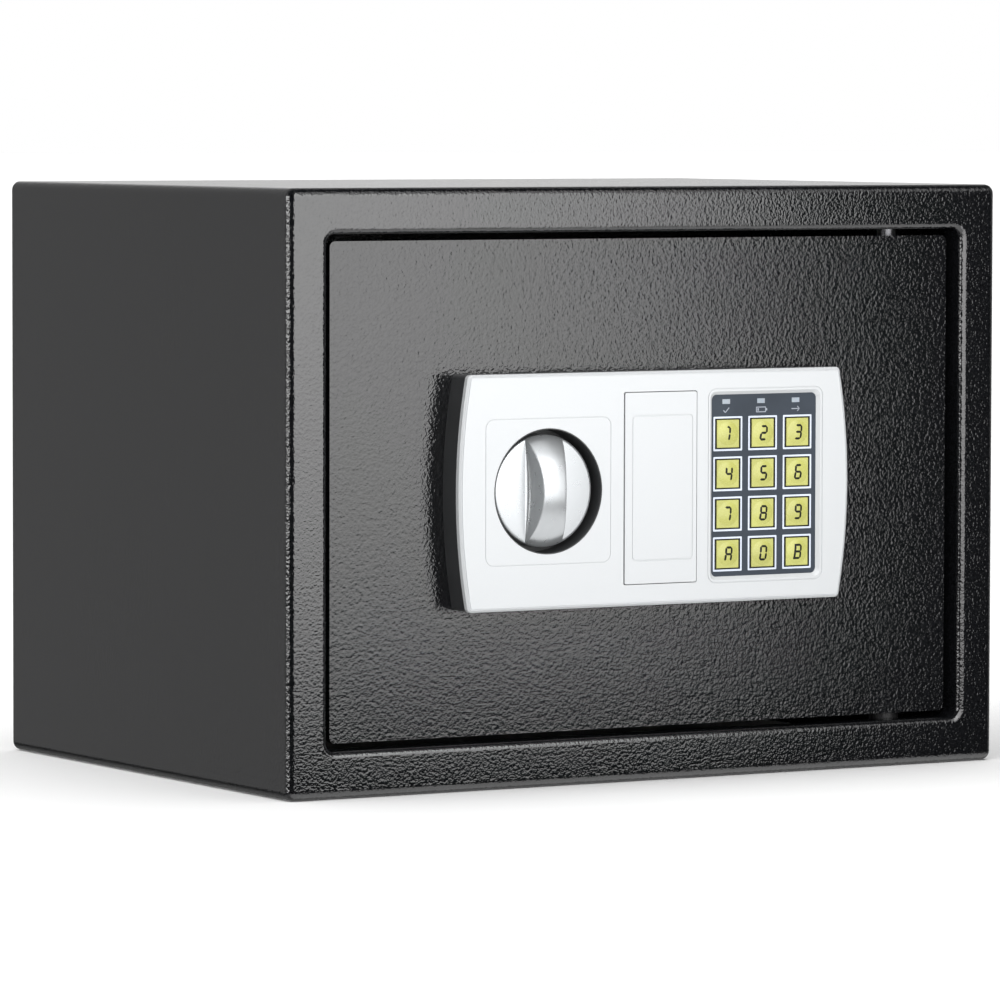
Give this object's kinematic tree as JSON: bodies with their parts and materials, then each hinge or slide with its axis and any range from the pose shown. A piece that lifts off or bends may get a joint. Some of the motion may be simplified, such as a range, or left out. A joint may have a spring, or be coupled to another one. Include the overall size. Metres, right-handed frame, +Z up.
{
  "type": "safe",
  "caption": "Small home safe: folded steel cabinet, recessed hinged door with bolt work, turning knob, numeric keypad panel and a covered emergency key lock.",
  "frame": {"origin": "middle of the cabinet's underside", "axes": "+X to the right seen from the front, +Y from the door to the back, +Z up"},
  "size_m": [0.35, 0.264, 0.25],
  "materials": {
    "paint_black": "glossy textured powder coat",
    "steel": "bright zinc",
    "zinc_steel": "zinc plated",
    "chrome": "polished",
    "nylon": "satin",
    "felt": "needled felt",
    "black_plastic": "fine moulded grain",
    "red_plastic": "gloss",
    "silver_plastic": "silver lacquer on moulded plastic",
    "silver_metal": "satin chrome plate",
    "overlay_film": "satin polyester film",
    "led_lens": "diffusing",
    "circuit_board": "solder mask",
    "battery_wrap": "printed sleeve",
    "rubber": "matt",
    "lead_sleeve": "soft sleeve",
    "brass": "machined",
    "copper_winding": "enamelled wire under clear wrap",
    "key_yellow": "satin, domed"
  },
  "bodies": {
    "cabinet": {"cabinet_shell": "paint_black", "back_panel": "paint_black", "hinge_brackets": "paint_black", "hinge_pin_upper": "steel", "hinge_pin_lower": "steel", "hinge_washer": "nylon", "floor_mat": "felt"},
    "door": {"door_plate": "paint_black", "door_pan": "paint_black", "hinge_lugs": "zinc_steel", "back_cover": "paint_black", "cover_screws": "steel", "battery_box": "black_plastic", "battery_contacts": "steel", "batteries": "battery_wrap", "reset_switch": "black_plastic", "panel_base": "black_plastic", "panel_screws": "steel", "face_plate": "silver_plastic", "keypad_overlay": "overlay_film", "led_windows": "led_lens", "keypad_board": "circuit_board", "buzzer": "black_plastic", "lead_grommet": "rubber", "keypad_lead": "lead_sleeve", "solenoid_lead": "lead_sleeve", "spindle_bush": "brass", "lock_barrel": "brass", "lock_nut": "zinc_steel", "guide_studs": "zinc_steel", "guide_clips": "zinc_steel", "solenoid_frame": "zinc_steel", "solenoid_coil": "copper_winding"},
    "knob": {"knob": "silver_metal", "spindle": "zinc_steel", "crank": "zinc_steel", "crank_screw": "steel"},
    "bolt_carriage": {"carriage_plate": "zinc_steel", "bolts": "chrome"},
    "lock_plug": {"lock_plug": "brass", "lock_cam": "zinc_steel", "cam_screw": "steel"},
    "plunger": {"plunger": "chrome", "plunger_spring": "steel"},
    "key_cover": {"key_cover": "silver_plastic"},
    "battery_lid": {"battery_lid": "black_plastic"},
    "reset_button": {"reset_button": "red_plastic"},
    "key_1": {"key_1": "key_yellow"},
    "key_2": {"key_2": "key_yellow"},
    "key_3": {"key_3": "key_yellow"},
    "key_4": {"key_4": "key_yellow"},
    "key_5": {"key_5": "key_yellow"},
    "key_6": {"key_6": "key_yellow"},
    "key_7": {"key_7": "key_yellow"},
    "key_8": {"key_8": "key_yellow"},
    "key_9": {"key_9": "key_yellow"},
    "key_a": {"key_a": "key_yellow"},
    "key_0": {"key_0": "key_yellow"},
    "key_b": {"key_b": "key_yellow"}
  },
  "joints": [
    {"name": "door_hinge", "type": "hinge", "parent": "cabinet", "child": "door", "pos_m": [0.13, -0.1065, 0.125], "axis": [0, 0, 1], "range_deg": [0, 110]},
    {"name": "knob_turn", "type": "hinge", "parent": "door", "child": "knob", "pos_m": [-0.0565, -0.115, 0.124], "axis": [0, 1, 0], "range_deg": [-90, 0]},
    {"name": "bolt_slide", "type": "slide", "parent": "door", "child": "bolt_carriage", "axis": [-1, 0, 0], "range_m": [0, 0.016]},
    {"name": "lock_turn", "type": "hinge", "parent": "door", "child": "lock_plug", "pos_m": [-0.0015, -0.11, 0.124], "axis": [0, 1, 0], "range_deg": [0, 90]},
    {"name": "plunger_lift", "type": "slide", "parent": "door", "child": "plunger", "axis": [0, 0, 1], "range_m": [0, 0.003], "deforming": ["plunger_spring"]},
    {"name": "key_cover_lift_off", "type": "slide", "parent": "door", "child": "key_cover", "axis": [0, -1, 0], "range_m": [0, 0.02]},
    {"name": "battery_lid_lift_off", "type": "slide", "parent": "door", "child": "battery_lid", "axis": [0, 1, 0], "range_m": [0, 0.02]},
    {"name": "reset_press", "type": "slide", "parent": "door", "child": "reset_button", "axis": [0, -1, 0], "range_m": [0, 0.0015], "stiffness_N_per_m": 400},
    {"name": "key_1_press", "type": "slide", "parent": "door", "child": "key_1", "axis": [0, 1, 0], "range_m": [0, 0.0008], "stiffness_N_per_m": 500},
    {"name": "key_2_press", "type": "slide", "parent": "door", "child": "key_2", "axis": [0, 1, 0], "range_m": [0, 0.0008], "stiffness_N_per_m": 500},
    {"name": "key_3_press", "type": "slide", "parent": "door", "child": "key_3", "axis": [0, 1, 0], "range_m": [0, 0.0008], "stiffness_N_per_m": 500},
    {"name": "key_4_press", "type": "slide", "parent": "door", "child": "key_4", "axis": [0, 1, 0], "range_m": [0, 0.0008], "stiffness_N_per_m": 500},
    {"name": "key_5_press", "type": "slide", "parent": "door", "child": "key_5", "axis": [0, 1, 0], "range_m": [0, 0.0008], "stiffness_N_per_m": 500},
    {"name": "key_6_press", "type": "slide", "parent": "door", "child": "key_6", "axis": [0, 1, 0], "range_m": [0, 0.0008], "stiffness_N_per_m": 500},
    {"name": "key_7_press", "type": "slide", "parent": "door", "child": "key_7", "axis": [0, 1, 0], "range_m": [0, 0.0008], "stiffness_N_per_m": 500},
    {"name": "key_8_press", "type": "slide", "parent": "door", "child": "key_8", "axis": [0, 1, 0], "range_m": [0, 0.0008], "stiffness_N_per_m": 500},
    {"name": "key_9_press", "type": "slide", "parent": "door", "child": "key_9", "axis": [0, 1, 0], "range_m": [0, 0.0008], "stiffness_N_per_m": 500},
    {"name": "key_a_press", "type": "slide", "parent": "door", "child": "key_a", "axis": [0, 1, 0], "range_m": [0, 0.0008], "stiffness_N_per_m": 500},
    {"name": "key_0_press", "type": "slide", "parent": "door", "child": "key_0", "axis": [0, 1, 0], "range_m": [0, 0.0008], "stiffness_N_per_m": 500},
    {"name": "key_b_press", "type": "slide", "parent": "door", "child": "key_b", "axis": [0, 1, 0], "range_m": [0, 0.0008], "stiffness_N_per_m": 500}
  ],
  "couplings": [
    {"joint": "knob_turn", "follows": "bolt_slide", "rad_per_m": -98.175},
    {"joint": "lock_turn", "follows": "plunger_lift", "rad_per_m": 523.6}
  ]
}
